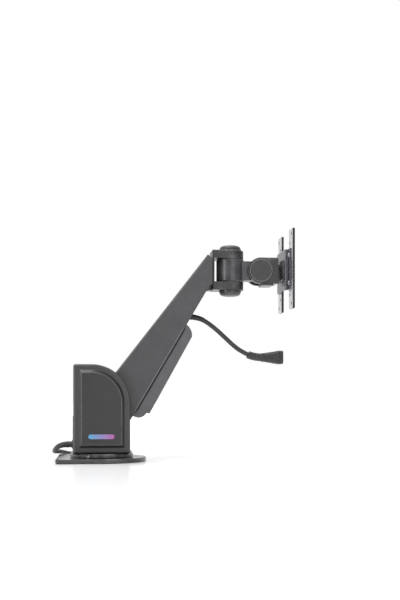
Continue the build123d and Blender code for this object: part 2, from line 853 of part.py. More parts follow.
with BuildPart() as head_fork:
    with BuildSketch(Plane.XY.offset(ear_bottom)):
        with Locations(((web_x + swivel_x) / 2, 0)):
            Rectangle(swivel_x - web_x, 2 * ear_radius)
        with Locations((swivel_x, 0)):
            Circle(ear_radius)
    extrude(amount=ear_top - ear_bottom)
    fillet(head_fork.edges().filter_by(Axis.Z).group_by(Axis.X)[0], 1.5)
    chamfer(head_fork.edges().group_by(Axis.Z)[-1] + head_fork.edges().group_by(Axis.Z)[0], 0.8)
    with BuildSketch(Plane.XY.offset(ear_low_top)):
        with Locations((web_x + web_thickness + 100, 0)):
            Rectangle(200, 100)
    extrude(amount=ear_top_low - ear_low_top, mode=Mode.SUBTRACT)
    with BuildSketch(side.offset(-lug_y)):
        with BuildLine():
            Polyline(
                (web_x + 1, head_pivot_z + upper_lug),
                (head_pivot_x, head_pivot_z + upper_lug),
                (head_pivot_x - upper_lug, head_pivot_z),
                (head_pivot_x - lower_lug, low_head_z),
                (head_pivot_x, low_head_z - lower_lug + 1.5),
                (web_x + 1, low_head_z - lower_lug + 1.5),
                close=True,
            )
        make_face()
        with Locations((head_pivot_x, head_pivot_z)):
            Circle(upper_lug)
        with Locations((head_pivot_x, low_head_z)):
            Circle(lower_lug)
        with Locations((web_x + 1 + 20, head_z)):
            Rectangle(40, 100, mode=Mode.SUBTRACT)
    extrude(amount=2 * lug_y)
    with BuildSketch(side.offset(-lug_y - 1)):
        with Locations((head_pivot_x, head_pivot_z), (head_pivot_x, low_head_z)):
            Circle(pivot_radius)
    extrude(amount=2 * lug_y + 2, mode=Mode.SUBTRACT)
    with BuildSketch(Plane.XY.offset(ear_bottom - 1)):
        with Locations((swivel_x, 0)):
            Circle(swivel_pin_radius)
    extrude(amount=ear_top - ear_bottom + 2, mode=Mode.SUBTRACT)
head_fork.part.label = "head_fork"
export_step(head_fork.part, "parts/head_fork.step")


with BuildPart() as upper_head_pin:
    cross_pin(head_pivot_x, head_pivot_z, pivot_radius, upper_link_y + link_thickness + 1)
upper_head_pin.part.label = "upper_head_pin"
export_step(upper_head_pin.part, "parts/upper_head_pin.step")


with BuildPart() as lower_head_pin:
    cross_pin(head_pivot_x, low_head_z, pivot_radius, lower_link_y + link_thickness + 0.4, 0.3)
lower_head_pin.part.label = "lower_head_pin"
export_step(lower_head_pin.part, "parts/lower_head_pin.step")


with BuildPart() as swivel_pin:
    with BuildSketch(Plane.XY.offset(ear_bottom)):
        with Locations((swivel_x, 0)):
            Circle(swivel_pin_radius)
    extrude(amount=ear_top - ear_bottom)
swivel_pin.part.label = "swivel_pin"
export_step(swivel_pin.part, "parts/swivel_pin.step")


for name, level, way in (("top_cap", ear_top, 1), ("bottom_cap", ear_bottom, -1)):
    with BuildPart() as cap:
        with BuildSketch(side):
            with BuildLine():
                Line((swivel_x, level), (swivel_x + cap_radius, level))
                Line((swivel_x + cap_radius, level), (swivel_x + cap_radius, level + way * 3.4))
                Bezier(
                    (swivel_x + cap_radius, level + way * 3.4),
                    (swivel_x + cap_radius - 0.2, level + way * (cap_height - 0.9)),
                    (swivel_x + cap_radius * 0.62, level + way * cap_height),
                    (swivel_x, level + way * cap_height),
                )
                Line((swivel_x, level + way * cap_height), (swivel_x, level))
            make_face()
        revolve(axis=Axis((swivel_x, 0, 0), (0, 0, 1)))
    cap.part.label = name
    export_step(cap.part, f"parts/{name}.step")


bush_radius = swivel_pin_radius + RUN + bush_wall
neck_half_height = knuckle_radius - 2.5


with BuildPart() as swivel_knuckle:
    with BuildSketch(Plane.XY.offset(barrel_low)):
        with Locations((swivel_x, 0)):
            Circle(barrel_radius)
    extrude(amount=barrel_height)
    chamfer(swivel_knuckle.edges().filter_by(GeomType.CIRCLE), 1.2)
    with BuildSketch(side.offset(-knuckle_y)):
        with Locations(((swivel_x + tilt_x) / 2, tilt_z)):
            Rectangle(tilt_x - swivel_x, 2 * neck_half_height)
        with Locations((tilt_x, tilt_z)):
            Circle(knuckle_radius)
            Circle(tilt_pin_radius + RUN, mode=Mode.SUBTRACT)
    extrude(amount=2 * knuckle_y)
    with BuildSketch(Plane.XY.offset(barrel_low - 1)):
        with Locations((swivel_x, 0)):
            Circle(bush_radius)
    extrude(amount=barrel_height + 2, mode=Mode.SUBTRACT)
swivel_knuckle.part.label = "swivel_knuckle"
export_step(swivel_knuckle.part, "parts/swivel_knuckle.step")


with BuildPart() as swivel_bush:
    with BuildSketch(Plane.XY.offset(barrel_low)):
        with Locations((swivel_x, 0)):
            Circle(bush_radius)
            Circle(swivel_pin_radius + RUN, mode=Mode.SUBTRACT)
    extrude(amount=barrel_height)
swivel_bush.part.label = "swivel_bush"
export_step(swivel_bush.part, "parts/swivel_bush.step")


with BuildPart() as swivel_washers:
    for level in (barrel_top, barrel_low - PLAY + 0.1):
        with BuildSketch(Plane.XY.offset(level)):
            with Locations((swivel_x, 0)):
                Circle(barrel_radius - 3)
                Circle(swivel_pin_radius + GAP, mode=Mode.SUBTRACT)
        extrude(amount=PLAY - 0.1)
swivel_washers.part.label = "swivel_washers"
export_step(swivel_washers.part, "parts/swivel_washers.step")


# ---------------------------------------------------------------- tilt head
with BuildPart() as tilt_yoke:
    with BuildSketch(side.offset(-yoke_outer_y)):
        with Locations((tilt_x, tilt_z)):
            Circle(tilt_radius)
        with Locations((tilt_x + tilt_front / 2, tilt_z)):
            Rectangle(tilt_front, 2 * tilt_radius)
    extrude(amount=2 * yoke_outer_y)
    fillet(tilt_yoke.edges().filter_by(Axis.Y).group_by(Axis.X)[-1], 2.0)
    with BuildSketch(Plane.XY.offset(tilt_z - tilt_radius)):
        with Locations((tilt_x + stop_rib_length / 2 + 1.5, 0)):
            RectangleRounded(stop_rib_length, stop_rib_width, 2)
    extrude(amount=-stop_rib_height)
    with BuildSketch(side.offset(-yoke_inner_y)):
        with Locations((tilt_x, tilt_z)):
            Circle(knuckle_radius + 1.2)
        with Locations((tilt_x - 25, tilt_z)):
            Rectangle(50, 100)
    extrude(amount=2 * yoke_inner_y, mode=Mode.SUBTRACT)
    with BuildSketch(side.offset(-yoke_outer_y - 1)):
        with Locations((tilt_x, tilt_z)):
            Circle(tilt_pin_radius)
    extrude(amount=2 * yoke_outer_y + 2, mode=Mode.SUBTRACT)
    with BuildSketch(Plane.YZ.offset(tilt_face)):
        with Locations((0, tilt_z)):
            Circle(hub_disc_radius)
    extrude(amount=hub_disc_length)
    with BuildSketch(Plane.YZ.offset(tilt_face - 4)):
        with Locations((0, tilt_z)):
            Circle(tilt_pin_radius)
    extrude(amount=hub_disc_length + 5, mode=Mode.SUBTRACT)
tilt_yoke.part.label = "tilt_yoke"
export_step(tilt_yoke.part, "parts/tilt_yoke.step")


with BuildPart() as tilt_pin:
    cross_pin(tilt_x, tilt_z, tilt_pin_radius, yoke_outer_y, 0.5)
tilt_pin.part.label = "tilt_pin"
export_step(tilt_pin.part, "parts/tilt_pin.step")


for name, sign in (("tilt_cap_left", 1), ("tilt_cap_right", -1)):
    with BuildPart() as tilt_cap:
        with BuildSketch(side.offset(-sign * yoke_outer_y)):
            with Locations((tilt_x, tilt_z)):
                Circle(tilt_cap_radius)
        extrude(amount=-sign * tilt_cap_height)
        outer = tilt_cap.faces().sort_by(Axis.Y)[-1 if sign > 0 else 0]
        fillet(outer.edges(), tilt_cap_height - 0.4)
    tilt_cap.part.label = name
    export_step(tilt_cap.part, f"parts/{name}.step")


with BuildPart() as tilt_washers:
    ring_pair(tilt_x, tilt_z, tilt_pin_radius + GAP, 14, knuckle_y, yoke_inner_y - 0.1)
tilt_washers.part.label = "tilt_washers"
export_step(tilt_washers.part, "parts/tilt_washers.step")


# ---------------------------------------------------------------- rotating screen bracket
with BuildPart() as rotate_bolt:
    with BuildSketch(Plane.YZ.offset(tilt_face - 4)):
        with Locations((0, tilt_z)):
            Circle(tilt_pin_radius)
    extrude(amount=channel_x - tilt_face + 4 + 0.3 + 2.0)
    with BuildSketch(Plane.YZ.offset(channel_x + 2.3)):
        with Locations((0, tilt_z)):
            Circle(10)
    extrude(amount=3.2)
    chamfer(rotate_bolt.faces().sort_by(Axis.X)[-1].edges(), 0.8)
rotate_bolt.part.label = "rotate_bolt"
export_step(rotate_bolt.part, "parts/rotate_bolt.step")


with BuildPart() as head_plate:
    with BuildSketch(Plane.YZ.offset(plate_x)):
        with Locations((0, tilt_z)):
            RectangleRounded(head_plate_width, head_plate_height, 3)
            Circle(tilt_pin_radius + RUN, mode=Mode.SUBTRACT)
    extrude(amount=head_plate_thickness)
    chamfer(head_plate.faces().sort_by(Axis.X)[0].outer_wire().edges(), 0.5)
head_plate.part.label = "head_plate"
export_step(head_plate.part, "parts/head_plate.step")


strap_mid = (vesa_small + vesa_large) / 4
channel_half = strap_mid - strap_width / 2 + 2.25
lip_half = strap_mid + 2.25
rivet_y = (channel_half + lip_half) / 2
rivet_z = 20.0
rivet_radius = 2.0


with BuildPart() as centre_channel:
    with BuildSketch(Plane.XY.offset(tilt_z - channel_height / 2)):
        with BuildLine():
            Polyline(
                (channel_x, -channel_half),
                (channel_x + channel_depth - channel_wall, -channel_half),
                (channel_x + channel_depth - channel_wall, -lip_half),
                (channel_x + channel_depth, -lip_half),
                (channel_x + channel_depth, -channel_half + channel_wall),
                (channel_x + channel_wall, -channel_half + channel_wall),
                (channel_x + channel_wall, channel_half - channel_wall),
                (channel_x + channel_depth, channel_half - channel_wall),
                (channel_x + channel_depth, lip_half),
                (channel_x + channel_depth - channel_wall, lip_half),
                (channel_x + channel_depth - channel_wall, channel_half),
                (channel_x, channel_half),
                close=True,
            )
        make_face()
    extrude(amount=channel_height)
    with BuildSketch(Plane.YZ.offset(channel_x - 1)):
        with Locations((0, tilt_z)):
            Circle(tilt_pin_radius + 0.4)
        for y in (-rivet_y, rivet_y):
            for z in (-rivet_z, rivet_z):
                with Locations((y, tilt_z + z)):
                    Circle(rivet_radius)
    extrude(amount=channel_depth + 2, mode=Mode.SUBTRACT)
centre_channel.part.label = "centre_channel"
export_step(centre_channel.part, "parts/centre_channel.step")


for name, sign in (("vesa_strap_left", 1), ("vesa_strap_right", -1)):
    with BuildPart() as vesa_strap:
        with BuildSketch(Plane.YZ.offset(strap_x)):
            with Locations((sign * strap_mid, tilt_z)):
                RectangleRounded(strap_width, strap_length, 3)
            for size in (vesa_small, vesa_large):
                for way in (-1, 1):
                    with Locations((sign * size / 2, tilt_z + way * size / 2)):
                        Circle(vesa_hole_radius, mode=Mode.SUBTRACT)
            for way in (-1, 1):
                with Locations((sign * rivet_y, tilt_z + way * rivet_z)):
                    Circle(rivet_radius, mode=Mode.SUBTRACT)
        extrude(amount=strap_thickness)
        chamfer(vesa_strap.faces().sort_by(Axis.X)[0].outer_wire().edges(), 0.4)
    vesa_strap.part.label = name
    export_step(vesa_strap.part, f"parts/{name}.step")


with BuildPart() as strap_rivets:
    for y in (-rivet_y, rivet_y):
        for z in (-rivet_z, rivet_z):
            with BuildSketch(Plane.YZ.offset(channel_x + channel_depth - channel_wall - 1.2)):
                with Locations((y, tilt_z + z)):
                    Circle(3.4)
            extrude(amount=1.2)
            with BuildSketch(Plane.YZ.offset(channel_x + channel_depth - channel_wall)):
                with Locations((y, tilt_z + z)):
                    Circle(rivet_radius)
            extrude(amount=channel_wall + strap_thickness - 0.2)
strap_rivets.part.label = "strap_rivets"
export_step(strap_rivets.part, "parts/strap_rivets.step")


# ---------------------------------------------------------------- leads
def bend_radii(points):
    """Largest even bend at each inner point of a route: 0.45 of its shorter run."""
    radii = []
    places = [Vector(*p) for p in points]
    for before, here, after in zip(places, places[1:], places[2:]):
        run_in, run_out = here - before, after - here
        half_turn = radians(run_in.get_angle(run_out)) / 2
        radii.append(0.45 * min(run_in.length, run_out.length) / tan(half_turn))
    return radii


def lead_tube(points):
    """Solid lead along a route of straight runs and tangent bends."""
    radii = bend_radii(points)
    print("bend radii", [round(r) for r in radii])
    with BuildLine() as path:
        FilletPolyline(*points, radius=radii)
    start = Vector(*points[1]) - Vector(*points[0])
    with BuildSketch(Plane(origin=points[0], z_dir=start)) as section:
        Circle(lead_radius)
    tube = sweep(section.sketch, path=path.line)
    length = sum(edge.length for edge in path.edges())
    share = tube.volume / (length * section.sketch.area)
    print("length", round(length, 1), "volume over section times length", round(share, 4))


def tapered(plane_far, low, high, end):
    """Round taper along a plane's normal, from one radius to another."""
    with BuildSketch(plane_far) as wide:
        Circle(low)
    with BuildSketch(plane_far.offset(end)) as narrow:
        Circle(high)
    loft([wide.sketch.face(), narrow.sketch.face()])


gland_place = arm_uv(front_route[0][0], front_route[0][2])
foot_u = spring_cover_chin[0] - 0.7


with BuildPart() as lead_guide:
    with BuildSketch(arm.offset(-lead_guide_half)):
        with BuildLine():
            Polyline(
                (foot_u - lead_guide_post, spring_cover_chin[1] + 2.3),
                (foot_u - lead_guide_post, gland_place[1] + 3.3),
                (gland_place[0] - 2.1, gland_place[1] + 3.3),
                (gland_place[0] - 1.1, gland_place[1] + 0.3),
                (foot_u, gland_place[1] + 0.3),
                (foot_u, spring_cover_chin[1] + 2.6),
                close=True,
            )
        make_face()
    extrude(amount=2 * lead_guide_half)
    exit_way = (Vector(*front_route[1]) - Vector(*front_route[0])).normalized()
    gland = Plane(origin=Vector(*front_route[0]) - exit_way * 6, z_dir=exit_way)
    tapered(gland, lead_radius + 1.1, lead_radius + 0.7, 6)
lead_guide.part.label = "lead_guide"
export_step(lead_guide.part, "parts/lead_guide.step")


with BuildPart() as front_lead:
    lead_tube(front_route)
front_lead.part.label = "front_lead"
export_step(front_lead.part, "parts/front_lead.step")


boot_sections = (
    (215.0, 155.5, -25.0, 5.9),
    (225.0, 152.3, -13.0, 6.1),
    (239.0, 151.2, 0.0, 6.3),
)


with BuildPart() as lead_boot:
    for x, z, slope, radius in boot_sections:
        normal = (cos(radians(slope)), 0, sin(radians(slope)))
        with BuildSketch(Plane(origin=(x, 0, z), x_dir=(0, 1, 0), z_dir=normal)):
            Circle(radius)
    loft(ruled=True)
lead_boot.part.label = "lead_boot"
export_step(lead_boot.part, "parts/lead_boot.step")


connector_start = boot_sections[-1][0]
connector_z = boot_sections[-1][1]
connector_shoulder = 258.0
connector_end = 266.0
connector_pin_y = 7.0


with BuildPart() as lead_connector:
    for x, wide, tall in ((connector_start, 14.0, 13.0), (connector_shoulder, 25.0, 19.0)):
        with BuildSketch(Plane.YZ.offset(x)):
            with Locations((0, connector_z)):
                RectangleRounded(wide, tall, 4.5)
    loft(ruled=True)
    with BuildSketch(Plane.YZ.offset(connector_shoulder)):
        with Locations((0, connector_z)):
            RectangleRounded(25.0, 19.0, 4.5)
    extrude(amount=connector_end - connector_shoulder)
    with BuildSketch(Plane.YZ.offset(connector_end)):
        with Locations((-connector_pin_y, connector_z - 2), (connector_pin_y, connector_z - 2)):
            Rectangle(2.4, 5.0)
        with Locations((0, connector_z + 3)):
            Rectangle(2.4, 5.0)
    extrude(amount=-9, mode=Mode.SUBTRACT)
lead_connector.part.label = "lead_connector"
export_step(lead_connector.part, "parts/lead_connector.step")


with BuildPart() as outlet_gland:
    with BuildSketch(Plane.YZ.offset(spine_rear + WALL + 1.5)):
        with Locations((0, outlet_height)):
            Circle(outlet_radius - 0.05)
    extrude(amount=door_x - spine_rear - WALL - 1.5)
    with BuildSketch(Plane.YZ.offset(door_x)):
        with Locations((0, outlet_height)):
            Circle(outlet_radius + 1.4)
    extrude(amount=-1.4)
    nose = Plane(origin=(door_x - 1.4, 0, outlet_height), z_dir=(-1, 0, 0))
    tapered(nose, outlet_radius, lead_radius + 0.6, gland_nose)
outlet_gland.part.label = "outlet_gland"
export_step(outlet_gland.part, "parts/outlet_gland.step")


with BuildPart() as rear_lead:
    lead_tube(rear_route)
rear_lead.part.label = "rear_lead"
export_step(rear_lead.part, "parts/rear_lead.step")


with BuildPart() as rear_coil:
    with BuildSketch(Plane.XZ.offset(-coil_centre[1])):
        with Locations((coil_centre[0] + coil_radius, coil_half_height + 0.2)):
            Ellipse(coil_half_width, coil_half_height)
    revolve(axis=Axis((coil_centre[0], coil_centre[1], 0), (0, 0, 1)))
rear_coil.part.label = "rear_coil"
export_step(rear_coil.part, "parts/rear_coil.step")


with BuildPart() as rear_tail:
    lead_tube(tail_route)
rear_tail.part.label = "rear_tail"
export_step(rear_tail.part, "parts/rear_tail.step")


plug_neck = 12.0
plug_length = 22.0
plug_pin_length = 16.0
plug_half_height = 11.0
plug_face = tail_route[-1][0] + plug_neck - 1
plug_y = tail_route[-1][1] + 4.2
plug_z = plug_half_height + 0.5


with BuildPart() as mains_plug:
    plug_axis = Vector(*tail_route[-1]) - Vector(*tail_route[-2])
    tapered(Plane(origin=tail_route[-1], z_dir=plug_axis), lead_radius + 1.0, 5.4, plug_neck)
    with BuildSketch(Plane.YZ.offset(plug_face)):
        with Locations((plug_y, plug_z)):
            RectangleRounded(26, 2 * plug_half_height, 6)
    extrude(amount=plug_length)
    fillet(mains_plug.faces().sort_by(Axis.X)[-1].edges(), 1.5)
    with BuildSketch(Plane.YZ.offset(plug_face + plug_length)):
        with Locations((plug_y - 9.5, plug_z), (plug_y + 9.5, plug_z)):
            Circle(2.4)
    extrude(amount=plug_pin_length)
mains_plug.part.label = "mains_plug"
export_step(mains_plug.part, "parts/mains_plug.step")
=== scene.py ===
import json
import math
import bpy
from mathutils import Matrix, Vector


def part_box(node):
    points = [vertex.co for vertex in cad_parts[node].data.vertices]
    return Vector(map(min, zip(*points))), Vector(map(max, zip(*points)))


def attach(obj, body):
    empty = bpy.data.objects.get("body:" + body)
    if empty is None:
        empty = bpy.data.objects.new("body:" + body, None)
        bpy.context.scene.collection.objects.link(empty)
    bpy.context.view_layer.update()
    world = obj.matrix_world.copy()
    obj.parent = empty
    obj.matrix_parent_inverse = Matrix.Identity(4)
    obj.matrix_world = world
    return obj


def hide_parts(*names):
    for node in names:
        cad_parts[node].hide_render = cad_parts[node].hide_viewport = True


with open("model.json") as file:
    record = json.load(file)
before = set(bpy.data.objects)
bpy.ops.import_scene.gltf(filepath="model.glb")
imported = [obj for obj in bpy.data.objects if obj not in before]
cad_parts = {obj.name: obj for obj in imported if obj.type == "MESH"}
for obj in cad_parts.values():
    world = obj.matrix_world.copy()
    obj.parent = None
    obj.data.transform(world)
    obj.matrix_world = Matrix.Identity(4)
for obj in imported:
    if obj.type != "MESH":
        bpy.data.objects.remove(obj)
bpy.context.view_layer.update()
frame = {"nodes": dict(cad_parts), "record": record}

nodes = frame["nodes"]
scene = bpy.context.scene


# ------------------------------------------------------------------ camera
camera_data = bpy.data.cameras.new("camera")
camera_data.lens = 60.2
camera_data.sensor_width = 36.0
camera_data.sensor_fit = "AUTO"
camera_data.shift_y = 0.15
camera_data.clip_end = 50.0
camera = bpy.data.objects.new("camera", camera_data)
camera.location = (-0.002, -1.470, 0.103)
camera.rotation_euler = (math.radians(90), 0, math.radians(-5.67))
scene.collection.objects.link(camera)
scene.camera = camera


# ------------------------------------------------------------------ materials
class Nodes:
    """Short calls that add and join the nodes of one tree."""

    def __init__(self, tree):
        self.tree = tree

    def node(self, kind, **values):
        made = self.tree.nodes.new(kind)
        for key, value in values.items():
            if hasattr(made, key):
                setattr(made, key, value)
            else:
                made.inputs[key.replace("_", " ")].default_value = value
        return made

    def join(self, out, into):
        self.tree.links.new(out, into)

    def remap(self, value, low, high, to_low, to_high, smooth=False):
        shape = "SMOOTHSTEP" if smooth else "LINEAR"
        made = self.node("ShaderNodeMapRange", interpolation_type=shape)
        self.join(value, made.inputs["Value"])
        limits = {"From Min": low, "From Max": high, "To Min": to_low, "To Max": to_high}
        for key, number in limits.items():
            made.inputs[key].default_value = number
        return made.outputs["Result"]

    def math(self, operation, a, b=None):
        made = self.node("ShaderNodeMath", operation=operation)
        for index, value in enumerate((a, b)):
            if value is None:
                continue
            if isinstance(value, (int, float)):
                made.inputs[index].default_value = value
            else:
                self.join(value, made.inputs[index])
        return made.outputs["Value"]

    def part(self, vector, axis):
        """One coordinate of a vector."""
        split = self.node("ShaderNodeSeparateXYZ")
        self.join(vector, split.inputs[0])
        return split.outputs[axis]

    def mix(self, factor, a, b):
        """Colour a to colour b by a factor; each is a colour or a socket."""
        made = self.node("ShaderNodeMix", data_type="RGBA")
        for index, value in ((0, factor), (6, a), (7, b)):
            self.put(value, made.inputs[index])
        return made.outputs[2]

    def put(self, value, socket):
        """Set a socket to a number or a colour, or join another socket to it."""
        if isinstance(value, (int, float)):
            socket.default_value = value
        elif isinstance(value, (tuple, list)):
            socket.default_value = (*value[:3], 1.0)
        else:
            self.join(value, socket)


class Shader(Nodes):
    """One procedural material."""

    def __init__(self, name):
        self.material = bpy.data.materials.new(name)
        self.material.use_nodes = True
        super().__init__(self.material.node_tree)
        self.bsdf = self.tree.nodes["Principled BSDF"]
        self.places = self.node("ShaderNodeTexCoord")
        self.where = self.places.outputs["Object"]

    def scaled(self, scale):
        """Object coordinates stretched by three factors."""
        mapping = self.node("ShaderNodeMapping")
        mapping.inputs["Scale"].default_value = scale
        self.join(self.where, mapping.inputs["Vector"])
        return mapping.outputs["Vector"]

    def noise(self, scale, detail=3.0, rough=0.55, stretch=None):
        made = self.node("ShaderNodeTexNoise", Scale=scale, Detail=detail, Roughness=rough)
        self.join(self.scaled(stretch) if stretch else self.where, made.inputs["Vector"])
        return made.outputs["Fac"]

    def edges(self, low=0.52, high=0.62):
        """1 along worn outer edges, 0 elsewhere."""
        geometry = self.node("ShaderNodeNewGeometry")
        return self.remap(geometry.outputs["Pointiness"], low, high, 0.0, 1.0)

    def bump(self, height, strength, distance, under=None):
        made = self.node("ShaderNodeBump", Strength=strength, Distance=distance)
        self.join(height, made.inputs["Height"])
        if under:
            self.join(under, made.inputs["Normal"])
        return made.outputs["Normal"]

    def tinted(self, tone):
        """This shader with another base colour."""
        self.put(tone, self.bsdf.inputs["Base Color"])
        return self

    def done(self, colour, rough, metallic=0.0, normal=None, coat=0.0):
        """Join the surface; the colour stays at hand as tone."""
        self.tone = colour
        self.put(colour, self.bsdf.inputs["Base Color"])
        self.put(rough, self.bsdf.inputs["Roughness"])
        self.put(metallic, self.bsdf.inputs["Metallic"])
        self.put(coat, self.bsdf.inputs["Coat Weight"])
        if normal:
            self.join(normal, self.bsdf.inputs["Normal"])
        return self


def moulded(name, colour, rough=0.5, grain=0.9, worn=0.12):
    """Spark-eroded moulded plastic: pebble grain, slight tone drift, paler handled edges."""
    s = Shader(name)
    drift = s.noise(9.0, 4.0)
    tone = s.mix(drift, [c * 0.88 for c in colour], [min(1, c * 1.12) for c in colour])
    wear = s.math("MULTIPLY", s.edges(), s.remap(s.noise(60.0), 0.4, 0.65, 0.0, worn))
    tone = s.mix(wear, tone, [min(1, c * 1.6 + 0.03) for c in colour])
    pebble = s.noise(1500.0, 2.0, 0.5)
    swirl = s.noise(420.0, 2.0, 0.5)
    normal = s.bump(pebble, 0.35 * grain, 0.00012, s.bump(swirl, 0.10 * grain, 0.0003))
    gloss = s.remap(s.noise(35.0, 3.0), 0.3, 0.7, rough - 0.05, rough + 0.06)
    return s.done(tone, gloss, 0.0, normal)


def painted(name, colour, rough=0.38, peel=0.5, worn=0.15):
    """Powder or wet paint on metal: orange peel, fine dust pits, edges rubbed paler."""
    s = Shader(name)
    tone = s.mix(s.noise(14.0, 4.0), [c * 0.9 for c in colour], [min(1, c * 1.1) for c in colour])
    wear = s.math("MULTIPLY", s.edges(0.53, 0.6), s.remap(s.noise(90.0), 0.45, 0.7, 0.0, worn))
    tone = s.mix(wear, tone, (0.42, 0.42, 0.43))
    peel_height = s.noise(320.0, 1.5, 0.4)
    pits = s.noise(1900.0, 2.0, 0.6)
    normal = s.bump(peel_height, 0.22 * peel, 0.0003, s.bump(pits, 0.12 * peel, 0.0001))
    gloss = s.remap(s.noise(40.0, 4.0), 0.3, 0.7, rough - 0.05, rough + 0.07)
    return s.done(tone, gloss, 0.0, normal)


def brushed(name, colour, rough=0.3, stretch=(40.0, 900.0, 2.0), streak=0.16):
    """Bare or anodised metal with a directional brushed grain and a few fine scratches."""
    s = Shader(name)
    lines = s.noise(1.0, 4.0, 0.6, stretch=stretch)
    dark, bright = ([min(1, c * share) for c in colour] for share in (1 - streak, 1 + streak))
    tone = s.mix(lines, dark, bright)
    scratch = s.noise(1.0, 2.0, 0.5, stretch=[f * 0.3 for f in stretch])
    grain = s.remap(lines, 0.3, 0.7, rough - 0.06, rough + 0.1)
    gloss = s.math("ADD", grain, s.remap(scratch, 0.6, 0.75, 0, 0.1))
    normal = s.bump(lines, 0.12, 0.0001)
    return s.done(tone, gloss, 1.0, normal)


def jacket(name, colour, rough=0.5):
    """Soft PVC: extrusion ripple, dust haze and a slight sheen."""
    s = Shader(name)
    dust = s.remap(s.noise(55.0, 5.0, 0.65), 0.5, 0.75, 0.0, 0.25)
    tone = s.mix(dust, colour, [min(1, c * 2.2 + 0.02) for c in colour])
    normal = s.bump(s.noise(900.0, 2.0), 0.25, 0.00015, s.bump(s.noise(130.0, 2.0), 0.08, 0.0006))
    gloss = s.remap(s.noise(70.0, 3.0), 0.3, 0.7, rough - 0.07, rough + 0.08)
    return s.done(tone, gloss, 0.0, normal)


def polymer(name, colour):
    """Pale bearing polymer, faintly cloudy."""
    s = Shader(name)
    tone = s.mix(s.noise(120.0, 4.0), [c * 0.85 for c in colour], colour)
    gloss = s.remap(s.noise(300.0), 0.3, 0.7, 0.42, 0.56)
    return s.done(tone, gloss, 0.0, s.bump(s.noise(1400.0), 0.2, 0.0001))


def two_tone(name, left, right):
    """Printed badge: one colour running into another along X, under a thin lacquer."""
    s = Shader(name)
    along = s.remap(s.part(s.where, "X"), -0.019, 0.018, 0.0, 1.0)
    tone = s.mix(along, left, right)
    tone = s.mix(s.remap(s.noise(500.0, 2.0), 0.45, 0.7, 0.0, 0.25), tone, (0.5, 0.5, 0.52))
    gloss = s.remap(s.noise(80.0), 0.3, 0.7, 0.25, 0.4)
    return s.done(tone, gloss, 0.2, s.bump(s.noise(900.0), 0.1, 0.0001), 0.4)


def raised(s, rise, face):
    """A side cover's finish with its low rim paler and painted shade at the foot of its bevel, darker than
    the panel.
    """
    depth = s.math("ABSOLUTE", s.part(s.where, "Y"))
    bevel = s.remap(depth, face - 0.6 * rise, face - 0.1 * rise, 1.0, 0.0)
    rim = s.remap(depth, face - 1.02 * rise, face - 0.95 * rise, 1.0, 0.0)
    # painted shade: the foot of the bevel goes near-black, where the groove round the panel lies in shade
    tone = s.mix(bevel, s.tone, (0.016, 0.016, 0.017))
    return s.tinted(s.mix(rim, tone, (0.054, 0.054, 0.057)))


def edge_shaded(s):
    """A sheet-metal finish with painted shade on its edges: faces not square to X go dark; the sheet lies
    across X.
    """
    flat = s.math("ABSOLUTE", s.part(s.places.outputs["Normal"], "X"))
    return s.tinted(s.mix(s.remap(flat, 0.35, 0.6, 0.0, 1.0), (0.030, 0.030, 0.032), s.tone))


PANEL_RISE = 0.0026
finishes = {
    "plate_paint": painted("plate_paint", (0.050, 0.049, 0.048), 0.17, 0.12),
    "disc_paint": painted("disc_paint", (0.034, 0.034, 0.035), 0.17, 0.12),
    "washer_polymer": polymer("washer_polymer", (0.62, 0.60, 0.55)),
    "turned_steel": brushed("turned_steel", (0.50, 0.50, 0.51), 0.3, (700.0, 30.0, 700.0)),
    "screw_black": painted("screw_black", (0.022, 0.022, 0.024), 0.42),
    "bracket_steel": painted("bracket_steel", (0.035, 0.035, 0.037), 0.42),
    # side covers: painted shade at the foot of the panel's bevel
    "column_plastic": raised(
        moulded("column_plastic", (0.031, 0.031, 0.033), 0.33),
        PANEL_RISE,
        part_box("side_cover_left")[1][1],
    ),
    "badge_print": two_tone("badge_print", (0.05, 0.35, 0.62), (0.42, 0.08, 0.34)),
    "link_steel": painted("link_steel", (0.05, 0.05, 0.052), 0.4),
    "arm_plastic": moulded("arm_plastic", (0.050, 0.050, 0.053), 0.38),
    "spring_cover_plastic": moulded("spring_cover_plastic", (0.078, 0.078, 0.082), 0.36, 1.8),
    "guide_plastic": moulded("guide_plastic", (0.03, 0.03, 0.03), 0.5),
    "lead_jacket": jacket("lead_jacket", (0.030, 0.030, 0.031)),
    "lead_moulding": jacket("lead_moulding", (0.024, 0.024, 0.025), 0.46),
    "spring_paint": painted("spring_paint", (0.02, 0.02, 0.021), 0.3),
    "rod_chrome": brushed("rod_chrome", (0.78, 0.78, 0.78), 0.12, (300.0, 300.0, 300.0), 0.03),
    "fork_paint": painted("fork_paint", (0.023, 0.023, 0.025), 0.32),
    "cap_plastic": moulded("cap_plastic", (0.060, 0.060, 0.063), 0.36, 0.6),
    "barrel_gloss": painted("barrel_gloss", (0.042, 0.042, 0.045), 0.3, 0.25, 0.1),
    "tilt_paint": painted("tilt_paint", (0.013, 0.013, 0.015), 0.3),
    "tilt_cap_plastic": moulded("tilt_cap_plastic", (0.022, 0.022, 0.024), 0.3, 0.6),
    "plate_black": painted("plate_black", (0.014, 0.014, 0.015), 0.36),
    "channel_grey": brushed("channel_grey", (0.17, 0.17, 0.19), 0.3, (420.0, 420.0, 6.0), 0.8),
    # straps: painted shade on their edges
    "strap_silver": edge_shaded(
        brushed("strap_silver", (0.66, 0.66, 0.68), 0.30, (900.0, 500.0, 8.0), 0.12)
    ),
}
mats = {slot: finish.material for slot, finish in finishes.items()}
for part in frame["record"]["subparts"]:
    node = nodes[part["node"]]
    for index in range(len(node.material_slots)):
        node.material_slots[index].material = mats[part["material_slot"]]


